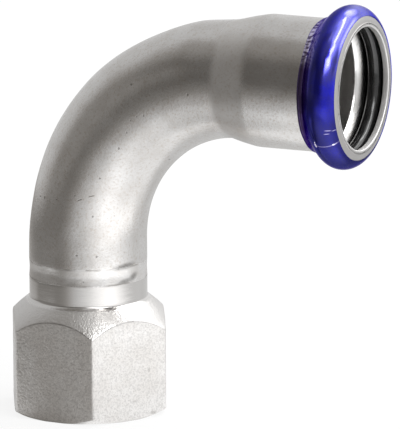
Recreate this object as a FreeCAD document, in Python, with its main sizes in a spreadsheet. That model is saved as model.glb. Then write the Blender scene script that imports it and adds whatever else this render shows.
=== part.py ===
"""Press-fit bend with a female thread: a 90 degree stainless bend for 22 mm pipe.

All sizes are in millimetres and degrees. The origin is the middle of the threaded end
face, +Z runs up the threaded leg and the press socket opens towards +X.
"""
import FreeCAD, Part
import math
import os
import Sketcher

SIZES = {
    # tube and bend
    "tube_outside": 22.0,
    "tube_wall": 1.1,
    "bend_radius": 32.5,
    "straight_run": 4.1,
    # flare from the tube to the press socket, which stops the pipe
    "flare_slope": 20.0,
    "flare_start_curve": 2.5,
    "flare_end_curve": 6.0,
    # press socket and the bead rolled at its end
    "socket_bore": 22.3,
    "socket_reach": 23.4,
    "bead_crown": 29.9,
    "bead_curve": 3.1,
    "bead_flank": 46.0,
    "bead_root_curve": 1.4,
    "mouth_bore": 22.6,
    # rubber ring in the bead
    "seal_section": 2.75,
    "seal_clearance": 0.02,
    # film shrunk over the bead
    "film_thickness": 0.15,
    "film_front_edge": 26.4,
    "film_tail": 0.3,
    # cast and turned hexagon
    "hex_flats": 28.0,
    "hex_clocking": -2.0,
    "hex_edge_round": 0.6,
    "end_face_edge": 28.2,
    "end_slope": 32.0,
    "shoulder_corner_height": 16.3,
    "shoulder_top_height": 21.4,
    "shoulder_curve": 18.5,
    "spigot_length": 4.0,
    "spigot_root_round": 0.5,
    # female pipe thread, bored to its crests, and the waterway above it
    "thread_crest_bore": 18.631,
    "thread_entry": 21.4,
    "thread_length": 15.0,
    "waterway_bore": 17.6,
    "waterway_taper": 3.0,
    # weld between the spigot and the tube
    "weld_face": 3.1,
    "weld_root": 1.6,
    "weld_sink": 0.1,
    "weld_drop": 0.2,
}

doc = FreeCAD.newDocument("press_bend")
sheet = doc.addObject("Spreadsheet::Sheet", "Sizes")
for row, (alias, number) in enumerate(SIZES.items(), start=1):
    sheet.set("A%d" % row, alias)
    sheet.set("B%d" % row, str(number))
    sheet.setAlias("B%d" % row, alias)
doc.recompute()


class Size:
    """A length or an angle: its number, and the words that bind it to the sheet."""

    def __init__(self, number, words):
        self.number = number
        self.words = words

    def __add__(self, other):
        other = as_size(other)
        return Size(self.number + other.number, "(%s + %s)" % (self.words, other.words))

    def __sub__(self, other):
        other = as_size(other)
        return Size(self.number - other.number, "(%s - %s)" % (self.words, other.words))

    def __mul__(self, other):
        other = as_size(other)
        return Size(self.number * other.number, "(%s * %s)" % (self.words, other.words))

    def __truediv__(self, other):
        other = as_size(other)
        return Size(self.number / other.number, "(%s / %s)" % (self.words, other.words))


def as_size(value):
    """Take a plain number, or a size, as a size."""
    return value if isinstance(value, Size) else Size(value, repr(value))


def named(alias):
    """The size of one cell of the sheet."""
    return Size(SIZES[alias], "Sizes." + alias)


def sine(angle):
    return Size(math.sin(math.radians(angle.number)), "sin(%s)" % angle.words)


def cosine(angle):
    return Size(math.cos(math.radians(angle.number)), "cos(%s)" % angle.words)


def tangent(angle):
    return Size(math.tan(math.radians(angle.number)), "tan(%s)" % angle.words)


def half(alias):
    """The radius of a size that is named as a diameter."""
    return named(alias) / 2


def rise_radius(width, rise):
    """Radius of an arc that rises by so much over a chord of this width."""
    return width * width / (rise * 8) + rise / 2


QUARTER_TURN = 90.0
HALF_TURN = 180.0
FULL_TURN = 360.0
HEX_SIDES = 6
HEX_HALF_SIDE_TURN = 30.0

# how far a cutting profile runs past the surface it cuts, and how deep a joined one is sunk
CUT_PAST = 1.0
SUNK = 3.0

# closest that two numbers of a finished shape come when they are the same
SAME = 1e-4

# heights of the threaded leg, from the end face up
WELD_START = named("shoulder_top_height") + named("spigot_length")
WELD_END = WELD_START + named("weld_face")
WELD_BEVEL = (named("weld_face") - named("weld_root")) / 2
BEND_START = WELD_END + named("straight_run")
AXIS_HEIGHT = BEND_START + named("bend_radius")

# radii shared by the tube, the weld, the seal and the film
TUBE_RADIUS = half("tube_outside")
TUBE_INSIDE = TUBE_RADIUS - named("tube_wall")
SOCKET_RADIUS = half("socket_bore") + named("tube_wall")

# the bead's crown and the root curve behind it, as seen from the socket's start
CROWN_CENTRE = (named("socket_reach") - named("bead_curve"),
                half("bead_crown") - named("bead_curve"))
ROOT_CENTRE_RADIUS = SOCKET_RADIUS + named("bead_root_curve")


def add_body(node):
    """Start one piece of the fitting."""
    body = doc.addObject("PartDesign::Body", node)
    body.Label = node
    return body


def add_sketch(body, name, role, right=None, up=None, out=None):
    """Lay a sketch on one of the body's own planes, moved within it or off it."""
    sketch = body.newObject("Sketcher::SketchObject", name)
    plane = next(item for item in body.Origin.OriginFeatures if item.Role == role)
    sketch.AttachmentSupport = [(plane, "")]
    sketch.MapMode = "FlatFace"
    for direction, size in (("x", right), ("y", up), ("z", out)):
        if size is not None:
            sketch.setExpression("AttachmentOffset.Base." + direction, size.words)
    return sketch


def point(x, y):
    return FreeCAD.Vector(as_size(x).number, as_size(y).number, 0)


def bind(sketch, kind, place, size):
    """Add a dimension to a sketch, with its size taken from the sheet."""
    number = math.radians(size.number) if kind == "Angle" else size.number
    index = sketch.addConstraint(Sketcher.Constraint(kind, *place, number))
    name = "%s_%d" % (kind.lower(), index)
    sketch.renameConstraint(index, name)
    sketch.setExpression("Constraints." + name, size.words)


def fix_point(sketch, piece, end, x=None, y=None):
    """Hold a point at distances from the sketch's origin; 0 puts it on that axis."""
    for kind, axis, size in (("DistanceX", -2, x), ("DistanceY", -1, y)):
        if size is None:
            continue
        if isinstance(size, Size):
            bind(sketch, kind, (-1, 1, piece, end), size)
        else:
            sketch.addConstraint(Sketcher.Constraint("PointOnObject", piece, end, axis))


class Outline:
    """A closed outline: pieces are drawn in order and each meets the one before."""

    def __init__(self, sketch):
        self.sketch = sketch
        self.ends = []

    def line(self, start, end):
        piece = self.sketch.addGeometry(Part.LineSegment(point(*start), point(*end)), False)
        self.ends.append((piece, 1, 2))
        return piece

    def arc(self, centre, radius, start, end):
        """Draw an arc between two directions; it runs clockwise when the second is less."""
        circle = Part.Circle(point(*centre), FreeCAD.Vector(0, 0, 1), as_size(radius).number)
        low, high = sorted((as_size(start).number, as_size(end).number))
        curve = Part.ArcOfCircle(circle, math.radians(low), math.radians(high))
        piece = self.sketch.addGeometry(curve, False)
        self.ends.append((piece, 1, 2) if as_size(start).number < as_size(end).number else (piece, 2, 1))
        return piece

    def join(self, sharp=()):
        """Close the outline: smooth after every piece but the sharp ones."""
        following = self.ends[1:] + self.ends[:1]
        for (piece, _, leave), (other, enter, _) in zip(self.ends, following):
            kind = "Coincident" if piece in sharp else "Tangent"
            self.sketch.addConstraint(Sketcher.Constraint(kind, piece, leave, other, enter))

    def share_centre(self, piece, other):
        self.sketch.addConstraint(Sketcher.Constraint("Coincident", piece, 3, other, 3))


def draw_polygon(sketch, corners):
    """Draw straight sides between corners, each held at its distances from the origin."""
    outline = Outline(sketch)
    sides = [outline.line(a, b) for a, b in zip(corners, corners[1:] + corners[:1])]
    outline.join(sharp=sides)
    for side, (x, y) in zip(sides, corners):
        fix_point(sketch, side, 1, x, y)


def revolve(body, kind, name, sketch, axis, angle=FULL_TURN):
    """Turn a sketch about one of its axes, adding a Revolution or cutting a Groove."""
    feature = body.newObject("PartDesign::" + kind, name)
    feature.Profile = sketch
    feature.ReferenceAxis = (sketch, [axis])
    feature.Angle = angle
    sketch.Visibility = False
    return feature


def flank_run(slope, low_curve, high_curve, drop):
    """Distance along the axis between the centres of two curves that a slope joins.

    The low curve has its centre above the slope, the high curve below it, and drop is how
    far the low centre stands above the high one.
    """
    return (low_curve + high_curve - cosine(slope) * drop) / sine(slope)


def bead_root_centre():
    """Centre of the curve between the socket's side and the bead's flank."""
    drop = ROOT_CENTRE_RADIUS - CROWN_CENTRE[1]
    run = flank_run(named("bead_flank"), named("bead_root_curve"), named("bead_curve"), drop)
    return CROWN_CENTRE[0] - run, ROOT_CENTRE_RADIUS


# Cast and turned hexagon with the female thread
# The blank is a cast hexagon. Its shoulder, end chamfer, spigot and bore are turned.

def build_threaded_end():
    body = add_body("threaded_end")
    flats = named("hex_flats")
    corner_radius = flats / 2 / cosine(as_size(HEX_HALF_SIDE_TURN))
    top = named("shoulder_top_height")

    blank = body.newObject("PartDesign::AdditivePrism", "hexagon")
    plane = next(item for item in body.Origin.OriginFeatures if item.Role == "XY_Plane")
    blank.AttachmentSupport = [(plane, "")]
    blank.MapMode = "FlatFace"
    blank.Polygon = HEX_SIDES
    blank.setExpression("Circumradius", corner_radius.words)
    blank.setExpression("Height", top.words)
    blank.setExpression("AttachmentOffset.Rotation.Angle", named("hex_clocking").words)
    doc.recompute()

    uprights = body.newObject("PartDesign::Fillet", "rounded_uprights")
    uprights.Base = (blank, edges_where(blank, is_upright))
    uprights.setExpression("Radius", named("hex_edge_round").words)
    doc.recompute()

    turn_end_chamfer(body, corner_radius)
    turn_shoulder(body, corner_radius)
    turn_spigot(body)
    bore_thread(body)
    return body


def edges_where(feature, wanted):
    """Names of a feature's edges that answer a question."""
    edges = enumerate(feature.Shape.Edges, start=1)
    return ["Edge%d" % number for number, edge in edges if wanted(edge)]


def is_upright(edge):
    """An edge that runs straight up."""
    box = edge.BoundBox
    return box.XLength < SAME and box.YLength < SAME


def is_spigot_foot(edge):
    """The circle where the spigot stands on the shoulder."""
    box = edge.BoundBox
    at_top = abs(box.ZMin - SIZES["shoulder_top_height"]) < SAME and box.ZLength < SAME
    return at_top and abs(box.XLength - SIZES["tube_outside"]) < SAME


def turn_end_chamfer(body, corner_radius):
    """Cone that takes the corners off at the end face."""
    sketch = add_sketch(body, "end_chamfer_profile", "XZ_Plane")
    face = half("end_face_edge")
    beyond = corner_radius + CUT_PAST
    rise = (beyond - face) * tangent(named("end_slope"))
    draw_polygon(sketch, [(face, 0), (beyond, 0), (beyond, rise)])
    revolve(body, "Groove", "end_chamfer", sketch, "V_Axis")


def turn_shoulder(body, corner_radius):
    """Round shoulder from the hexagon's corners up to the spigot."""
    sketch = add_sketch(body, "shoulder_profile", "XZ_Plane")
    low, top = named("shoulder_corner_height"), named("shoulder_top_height")
    radius = named("shoulder_curve")
    inner, outer = (TUBE_RADIUS.number, top.number), (corner_radius.number, low.number)
    middle = ((inner[0] + outer[0]) / 2, (inner[1] + outer[1]) / 2)
    across = (outer[0] - inner[0], outer[1] - inner[1])
    chord = math.hypot(*across)
    back = math.sqrt(radius.number ** 2 - chord ** 2 / 4) / chord
    centre = (middle[0] + across[1] * back, middle[1] - across[0] * back)
    start, end = [math.degrees(math.atan2(y - centre[1], x - centre[0])) for x, y in (inner, outer)]

    outline = Outline(sketch)
    curve = outline.arc(centre, radius, start, end)
    beyond = corner_radius + CUT_PAST
    floor = outline.line((corner_radius, low), (beyond, low))
    side = outline.line((beyond, low), (beyond, top))
    roof = outline.line((beyond, top), (TUBE_RADIUS, top))
    outline.join(sharp=(curve, floor, side, roof))
    fix_point(sketch, floor, 1, corner_radius, low)
    fix_point(sketch, side, 1, beyond, low)
    fix_point(sketch, roof, 1, beyond, top)
    fix_point(sketch, roof, 2, TUBE_RADIUS, top)
    bind(sketch, "Radius", (curve,), radius)
    revolve(body, "Groove", "shoulder", sketch, "V_Axis")


def turn_spigot(body):
    """Short collar that the tube is welded to, bevelled for the weld."""
    sketch = add_sketch(body, "spigot_profile", "XZ_Plane")
    inside = half("waterway_bore") - CUT_PAST
    foot = named("shoulder_top_height") - SUNK
    bevel_top = WELD_START + WELD_BEVEL
    corners = [(inside, foot), (TUBE_RADIUS, foot), (TUBE_RADIUS, WELD_START),
               (TUBE_INSIDE, bevel_top), (inside, bevel_top)]
    draw_polygon(sketch, corners)
    spigot = revolve(body, "Revolution", "spigot", sketch, "V_Axis")
    doc.recompute()

    root = body.newObject("PartDesign::Fillet", "spigot_root")
    root.Base = (spigot, edges_where(spigot, is_spigot_foot))
    root.setExpression("Radius", named("spigot_root_round").words)
    doc.recompute()


def bore_thread(body):
    """Thread entry, thread bore, waterway and the taper out to the tube's bore."""
    sketch = add_sketch(body, "bore_profile", "XZ_Plane")
    entry, crest, waterway = half("thread_entry"), half("thread_crest_bore"), half("waterway_bore")
    length = named("thread_length")
    top = WELD_START + WELD_BEVEL
    corners = [(0, 0), (entry, 0), (crest, entry - crest), (crest, length),
               (waterway, length + crest - waterway), (waterway, top - named("waterway_taper")),
               (TUBE_INSIDE, top), (0, top)]
    draw_polygon(sketch, corners)
    revolve(body, "Groove", "thread_bore", sketch, "V_Axis")


# Weld between the spigot and the tube
# A narrow fused ring: ground a little hollow outside, with a low bead inside.

def build_weld_seam():
    body = add_body("weld_seam")
    sketch = add_sketch(body, "weld_profile", "XZ_Plane")
    face_curve = rise_radius(named("weld_face"), named("weld_sink"))
    root_curve = rise_radius(named("weld_root"), named("weld_drop"))
    middle = WELD_START + named("weld_face") / 2
    face_turn = math.degrees(math.asin(named("weld_face").number / 2 / face_curve.number))
    root_turn = math.degrees(math.asin(named("weld_root").number / 2 / root_curve.number))

    outline = Outline(sketch)
    face_centre = (TUBE_RADIUS + face_curve - named("weld_sink"), middle)
    face = outline.arc(face_centre, face_curve, HALF_TURN + face_turn, HALF_TURN - face_turn)
    upper = outline.line((TUBE_RADIUS, WELD_END), (TUBE_INSIDE, WELD_END - WELD_BEVEL))
    root_centre = (TUBE_INSIDE + root_curve - named("weld_drop"), middle)
    root = outline.arc(root_centre, root_curve, HALF_TURN - root_turn, HALF_TURN + root_turn)
    lower = outline.line((TUBE_INSIDE, WELD_START + WELD_BEVEL), (TUBE_RADIUS, WELD_START))
    outline.join(sharp=(face, upper, root, lower))
    fix_point(sketch, upper, 1, TUBE_RADIUS, WELD_END)
    fix_point(sketch, upper, 2, TUBE_INSIDE, WELD_END - WELD_BEVEL)
    fix_point(sketch, lower, 1, TUBE_INSIDE, WELD_START + WELD_BEVEL)
    fix_point(sketch, lower, 2, TUBE_RADIUS, WELD_START)
    bind(sketch, "Radius", (face,), face_curve)
    bind(sketch, "Radius", (root,), root_curve)
    revolve(body, "Revolution", "weld_ring", sketch, "V_Axis")
    return body


# Tube: straight run, bend, flare, press socket and bead
# One length of tube. Its end is widened to take the pipe and rolled over the seal.

def build_elbow_tube():
    body = add_body("elbow_tube")
    run = add_sketch(body, "straight_run_profile", "XZ_Plane")
    draw_polygon(run, [(TUBE_INSIDE, WELD_END - WELD_BEVEL), (TUBE_RADIUS, WELD_END),
                       (TUBE_RADIUS, BEND_START), (TUBE_INSIDE, BEND_START)])
    revolve(body, "Revolution", "straight_run", run, "V_Axis")

    section = add_sketch(body, "bend_section", "XY_Plane", out=BEND_START)
    for radius in (TUBE_RADIUS, TUBE_INSIDE):
        circle = Part.Circle(point(0, 0), FreeCAD.Vector(0, 0, 1), radius.number)
        ring = section.addGeometry(circle, False)
        section.addConstraint(Sketcher.Constraint("Coincident", ring, 3, -1, 1))
        bind(section, "Radius", (ring,), radius)
    reach = named("bend_radius")
    pivot = section.addGeometry(Part.LineSegment(point(reach, 0), point(reach, TUBE_RADIUS)), True)
    fix_point(section, pivot, 1, reach, 0)
    fix_point(section, pivot, 2, reach, TUBE_RADIUS)
    revolve(body, "Revolution", "bend", section, "Axis0", QUARTER_TURN)

    socket = add_sketch(body, "socket_profile", "XZ_Plane", right=reach, up=AXIS_HEIGHT)
    draw_socket_wall(socket)
    revolve(body, "Revolution", "press_socket", socket, "H_Axis")
    return body


def draw_socket_wall(sketch):
    """Wall of the flare, socket and bead: the same outline twice, one wall apart."""
    wall = named("tube_wall")
    flare, flank = named("flare_slope"), named("bead_flank")
    start_curve, end_curve = named("flare_start_curve"), named("flare_end_curve")
    root_curve, crown_curve = named("bead_root_curve"), named("bead_curve")
    mouth, reach = half("mouth_bore"), named("socket_reach")

    start_centre = (0, TUBE_RADIUS + start_curve)
    end_height = SOCKET_RADIUS - end_curve
    end_centre = (flank_run(flare, start_curve, end_curve, start_centre[1] - end_height), end_height)
    crown_centre = CROWN_CENTRE
    root_centre = bead_root_centre()

    outline = Outline(sketch)
    down = -QUARTER_TURN
    flare_low, flare_high = down + flare.number, QUARTER_TURN + flare.number
    flank_low, flank_high = down + flank.number, QUARTER_TURN + flank.number

    outer_start = outline.arc(start_centre, start_curve, down, flare_low)
    cone = outline.line(on_arc(start_centre, start_curve, flare_low),
                        on_arc(end_centre, end_curve, flare_high))
    outer_end = outline.arc(end_centre, end_curve, flare_high, QUARTER_TURN)
    outer_side = outline.line((end_centre[0], SOCKET_RADIUS), (root_centre[0], SOCKET_RADIUS))
    outer_root = outline.arc(root_centre, root_curve, down, flank_low)
    outer_flank = outline.line(on_arc(root_centre, root_curve, flank_low),
                               on_arc(crown_centre, crown_curve, flank_high))
    outer_crown = outline.arc(crown_centre, crown_curve, flank_high, 0)
    front = outline.line((reach, crown_centre[1]), (reach, mouth))
    lip = outline.line((reach, mouth), (reach - wall, mouth))
    back = outline.line((reach - wall, mouth), (reach - wall, crown_centre[1]))
    inner_crown = outline.arc(crown_centre, crown_curve - wall, 0, flank_high)
    outline.line(on_arc(crown_centre, crown_curve - wall, flank_high),
                 on_arc(root_centre, root_curve + wall, flank_low))
    inner_root = outline.arc(root_centre, root_curve + wall, flank_low, down)
    outline.line((root_centre[0], SOCKET_RADIUS - wall), (end_centre[0], SOCKET_RADIUS - wall))
    inner_end = outline.arc(end_centre, end_curve - wall, QUARTER_TURN, flare_high)
    outline.line(on_arc(end_centre, end_curve - wall, flare_high),
                 on_arc(start_centre, start_curve + wall, flare_low))
    inner_start = outline.arc(start_centre, start_curve + wall, flare_low, down)
    cut = outline.line((0, TUBE_INSIDE), (0, TUBE_RADIUS))
    outline.join(sharp=(front, lip, inner_start, cut))

    fix_point(sketch, cut, 1, x=0)
    fix_point(sketch, cut, 2, x=0, y=TUBE_RADIUS)
    fix_point(sketch, outer_start, 3, x=0)
    fix_point(sketch, outer_side, 1, y=SOCKET_RADIUS)
    fix_point(sketch, outer_crown, 3, *crown_centre)
    fix_point(sketch, lip, 1, y=mouth)
    for side in (outer_side, lip):
        sketch.addConstraint(Sketcher.Constraint("Horizontal", side))
    for side in (front, back):
        sketch.addConstraint(Sketcher.Constraint("Vertical", side))
    bind(sketch, "Angle", (cone,), flare)
    bind(sketch, "Angle", (outer_flank,), flank)
    curves = ((outer_start, inner_start, start_curve, start_curve + wall),
              (outer_end, inner_end, end_curve, end_curve - wall),
              (outer_root, inner_root, root_curve, root_curve + wall),
              (outer_crown, inner_crown, crown_curve, crown_curve - wall))
    for outer, inner, outer_radius, inner_radius in curves:
        outline.share_centre(inner, outer)
        bind(sketch, "Radius", (outer,), outer_radius)
        bind(sketch, "Radius", (inner,), inner_radius)


def on_arc(centre, radius, direction):
    """Point of an arc in a direction given in degrees."""
    turn = math.radians(direction)
    x = as_size(centre[0]).number + as_size(radius).number * math.cos(turn)
    y = as_size(centre[1]).number + as_size(radius).number * math.sin(turn)
    return x, y


# Rubber ring that the pipe is pushed through
# It lies in the bead's crown and stands a little proud of the socket's bore.

def build_seal_ring():
    body = add_body("seal_ring")
    reach = named("bend_radius")
    sketch = add_sketch(body, "seal_section", "XZ_Plane", right=reach, up=AXIS_HEIGHT)
    radius = named("seal_section") / 2
    seat = half("bead_crown") - named("tube_wall") - named("seal_clearance")
    centre = (CROWN_CENTRE[0], seat - radius)
    circle = Part.Circle(point(*centre), FreeCAD.Vector(0, 0, 1), radius.number)
    ring = sketch.addGeometry(circle, False)
    fix_point(sketch, ring, 3, *centre)
    bind(sketch, "Radius", (ring,), radius)
    revolve(body, "Revolution", "rubber_ring", sketch, "H_Axis")
    return body


# Film shrunk over the bead
# It hugs the crown and the rear flank and ends just on the socket.

def build_press_indicator():
    body = add_body("press_indicator")
    reach = named("bend_radius")
    sketch = add_sketch(body, "film_profile", "XZ_Plane", right=reach, up=AXIS_HEIGHT)
    film, tail = named("film_thickness"), named("film_tail")
    flank = named("bead_flank")
    root_curve, crown_curve = named("bead_root_curve"), named("bead_curve")
    crown_centre = CROWN_CENTRE
    root_centre = bead_root_centre()
    front_edge = half("film_front_edge")
    lift = (front_edge - crown_centre[1]).number / crown_curve.number
    front = math.degrees(math.asin(lift))
    down = -QUARTER_TURN
    low, high = down + flank.number, QUARTER_TURN + flank.number

    outline = Outline(sketch)
    inner_tail = outline.line((root_centre[0] - tail, SOCKET_RADIUS), (root_centre[0], SOCKET_RADIUS))
    inner_root = outline.arc(root_centre, root_curve, down, low)
    inner_flank = outline.line(on_arc(root_centre, root_curve, low),
                               on_arc(crown_centre, crown_curve, high))
    inner_crown = outline.arc(crown_centre, crown_curve, high, front)
    edge = outline.line(on_arc(crown_centre, crown_curve, front),
                        on_arc(crown_centre, crown_curve + film, front))
    outer_crown = outline.arc(crown_centre, crown_curve + film, front, high)
    outline.line(on_arc(crown_centre, crown_curve + film, high),
                 on_arc(root_centre, root_curve - film, low))
    outer_root = outline.arc(root_centre, root_curve - film, low, down)
    outer_tail = outline.line((root_centre[0], SOCKET_RADIUS + film),
                              (root_centre[0] - tail, SOCKET_RADIUS + film))
    end = outline.line((root_centre[0] - tail, SOCKET_RADIUS + film),
                       (root_centre[0] - tail, SOCKET_RADIUS))
    outline.join(sharp=(inner_crown, edge, outer_tail, end))

    fix_point(sketch, inner_crown, 3, *crown_centre)
    fix_point(sketch, inner_tail, 1, y=SOCKET_RADIUS)
    fix_point(sketch, inner_crown, 1, y=front_edge)
    for side in (inner_tail, outer_tail):
        sketch.addConstraint(Sketcher.Constraint("Horizontal", side))
    sketch.addConstraint(Sketcher.Constraint("Vertical", end))
    sketch.addConstraint(Sketcher.Constraint("PointOnObject", inner_crown, 3, edge))
    bind(sketch, "Distance", (inner_tail,), tail)
    bind(sketch, "Angle", (inner_flank,), flank)
    curves = ((inner_root, outer_root, root_curve, root_curve - film),
              (inner_crown, outer_crown, crown_curve, crown_curve + film))
    for inner, outer, inner_radius, outer_radius in curves:
        outline.share_centre(outer, inner)
        bind(sketch, "Radius", (inner,), inner_radius)
        bind(sketch, "Radius", (outer,), outer_radius)
    revolve(body, "Revolution", "shrunk_film", sketch, "H_Axis")
    return body


nodes = [build_threaded_end(), build_weld_seam(), build_elbow_tube(), build_seal_ring(),
         build_press_indicator()]
doc.recompute()

faults = [item.Name for item in doc.Objects if {"Invalid", "Error"} & set(item.State)]
loose = [item.Name for item in doc.Objects
         if item.TypeId == "Sketcher::SketchObject" and not item.FullyConstrained]
if faults or loose:
    raise RuntimeError("failed: %s; not fully constrained: %s" % (faults, loose))

os.makedirs("parts", exist_ok=True)
for body in nodes:
    shape = body.Shape
    if shape.isNull() or not shape.isValid() or len(shape.Solids) != 1:
        raise RuntimeError("%s has no single sound solid" % body.Label)
    shape.exportStep(os.path.join("parts", body.Label + ".step"))
    print("%s: %.1f cubic mm" % (body.Label, shape.Volume))
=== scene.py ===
"""Scene of a press-fit pipe bend with a female threaded end, in metres, Z up.

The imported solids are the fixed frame. Sizes below are millimetres in that same frame, but for
the few that are marked as metres, and MM brings them to metres when a mesh is made.
"""
import bpy
import numpy as np
from mathutils import Matrix


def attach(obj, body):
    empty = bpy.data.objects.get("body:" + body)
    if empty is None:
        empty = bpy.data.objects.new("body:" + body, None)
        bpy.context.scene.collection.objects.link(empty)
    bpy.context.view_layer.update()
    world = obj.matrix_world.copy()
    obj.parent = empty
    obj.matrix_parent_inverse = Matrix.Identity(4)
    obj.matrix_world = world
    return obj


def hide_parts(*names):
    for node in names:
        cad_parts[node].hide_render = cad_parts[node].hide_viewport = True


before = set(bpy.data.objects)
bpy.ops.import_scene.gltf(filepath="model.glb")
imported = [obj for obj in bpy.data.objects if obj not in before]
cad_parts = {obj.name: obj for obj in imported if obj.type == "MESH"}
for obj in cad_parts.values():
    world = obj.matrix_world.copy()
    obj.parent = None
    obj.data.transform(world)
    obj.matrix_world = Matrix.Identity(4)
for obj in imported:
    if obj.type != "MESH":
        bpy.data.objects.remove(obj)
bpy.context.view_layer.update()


# Threaded end
# A stainless casting with a hexagon for the spanner and a domed shoulder, its skin left as
# it came out of the mould. The end face, the chamfer, the spigot and the bore are turned.

MM = 0.001
TUBE_RADIUS = 11.0
TUBE_BORE = 9.9
WELD_FOOT = 25.4
BEVEL_TOP = 26.15

HEX_HALF_FLATS = 14.0
HEX_EDGE_ROUND = 0.6
HEX_TURN = -62.0
HEX_FLAT_COLUMNS = 42
HEX_EDGE_COLUMNS = 7
END_FACE_RADIUS = 14.1
END_CHAMFER_SLOPE = 32.0
SHOULDER_CORNER = (HEX_HALF_FLATS / np.cos(np.radians(30.0)), 16.3)
SHOULDER_TOP = 21.4
SHOULDER_CURVE = 18.5
WATERWAY = 8.8
WATERWAY_TOP = 23.15

THREAD_PITCH = 1.814
THREAD_CREST = 9.3155
THREAD_ROOT = 10.4775
THREAD_ENTRY = 10.7
THREAD_END = 15.0
THREAD_FADE = (0.4, 2.2)
THREAD_RUNOUT = 0.6

MOULD_SKIN = ((1.5, 0.022, 11), (0.55, 0.016, 12))  # spacing, size and seed of each layer
SKIN_SUNK = 0.036
SKIN_EDGE_ACROSS = (11.6, 12.6)
SKIN_EDGE_UP = (0.1, 0.7)
SKIN_TIPS_UPWARD = (16.2, 17.2)
CAST_SMUDGES = (
    ((14.63, -2.99, 0.9), (1.1, 1.1, 0.5)),
    ((12.6, -6.6, 3.6), (0.7, 0.7, 0.35), (0, 0, -32)),
    ((14.2, -3.8, 9.2), (0.5, 0.5, 0.7), (0, 0, -32)),
)
FACE_INSET = 0.02
LEAST_CHAMFER = 0.012
EDGE_SOFTNESS = 0.12
DOME_SHARES = np.linspace(0.08, 0.92, 11)
ROUNDING_STEPS = 5
ROUNDING_ROOM = 0.45
LATTICE = 32


def trace(corners):
    """Closed outline through corners of (across, height, set-back, steps to the next corner).

    A corner is rounded by (1-t)^2 * before + 2t(1-t) * corner + t^2 * after, where before and
    after lie its set-back away along its two sides. Across and height may be arrays with one
    number for each column round the piece. Gives points[row, across or height, column].
    """
    columns = max(np.size(value) for corner in corners for value in corner[:2])
    place = np.array([[np.broadcast_to(value, columns) for value in corner[:2]]
                      for corner in corners])
    side = np.roll(place, -1, axis=0) - place
    length = np.sqrt((side ** 2).sum(axis=1, keepdims=True))
    way = side / length
    room = ROUNDING_ROOM * np.minimum(length, np.roll(length, 1, axis=0))
    back = np.minimum(np.array([corner[2] for corner in corners])[:, None, None], room)
    before = place - back * np.roll(way, 1, axis=0)
    after = place + back * way
    t = np.linspace(0, 1, ROUNDING_STEPS)[:, None, None]
    rows = []
    for i, (_, _, set_back, steps) in enumerate(corners):
        if set_back:
            rows.append((1 - t) ** 2 * before[i] + 2 * t * (1 - t) * place[i] + t ** 2 * after[i])
        else:
            rows.append(place[i][None])
        share = (np.arange(1, steps) / steps)[:, None, None]
        rows.append(after[i] * (1 - share) + before[(i + 1) % len(corners)] * share)
    return np.concatenate(rows)


def unevenness(points, spacing, seed):
    """Smooth random heights from about -1 to 1.

    Random numbers stand on a cubic lattice of this spacing. A point takes the eight around
    it, each weighted by 3t^2 - 2t^3 of its nearness along every axis.
    """
    lattice = np.random.default_rng(seed).uniform(-1, 1, (LATTICE, LATTICE, LATTICE))
    cell = points / spacing
    low = np.floor(cell).astype(int)
    t = cell - low
    t = t * t * (3 - 2 * t)
    height = 0
    for corner in np.ndindex(2, 2, 2):
        weight = np.where(np.array(corner) == 1, t, 1 - t).prod(axis=-1)
        i, j, k = np.moveaxis((low + corner) % LATTICE, -1, 0)
        height = height + weight * lattice[i, j, k]
    return height


def layered(points, layers):
    """Sum of unevenness over layers of (spacing, size, seed)."""
    return sum(size * unevenness(points, spacing, seed) for spacing, size, seed in layers)


def ease(value, low, high):
    """0 on low's side, 1 on high's side, and 3t^2 - 2t^3 between; low may be the larger."""
    t = np.clip((value - low) / (high - low), 0, 1)
    return t * t * (3 - 2 * t)


def round_upright(reach, turn, height):
    """Points round the upright axis: reach * cos(turn), reach * sin(turn) and the height."""
    return np.stack([reach * np.cos(turn), reach * np.sin(turn), height], axis=-1)


def ring_mesh(name, points):
    """Mesh of points[row, column] in millimetres, closed both along and round.

    Four neighbours make a face, and it looks outwards where rows climb the outside and
    columns run anticlockwise.
    """
    rows, columns = points.shape[:2]
    index = np.arange(rows * columns).reshape(rows, columns)
    beside, above = np.roll(index, -1, axis=1), np.roll(index, -1, axis=0)
    faces = np.stack([index, beside, np.roll(beside, -1, axis=0), above], axis=-1).ravel()
    mesh = bpy.data.meshes.new(name)
    mesh.vertices.add(index.size)
    mesh.vertices.foreach_set("co", (points * MM).ravel())
    mesh.loops.add(faces.size)
    mesh.polygons.add(index.size)
    mesh.polygons.foreach_set("loop_start", np.arange(0, faces.size, 4))
    mesh.polygons.foreach_set("vertices", faces)
    mesh.update(calc_edges=True)
    mesh.shade_smooth()
    piece = bpy.data.objects.new(name, mesh)
    bpy.context.scene.collection.objects.link(piece)
    return piece


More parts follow.
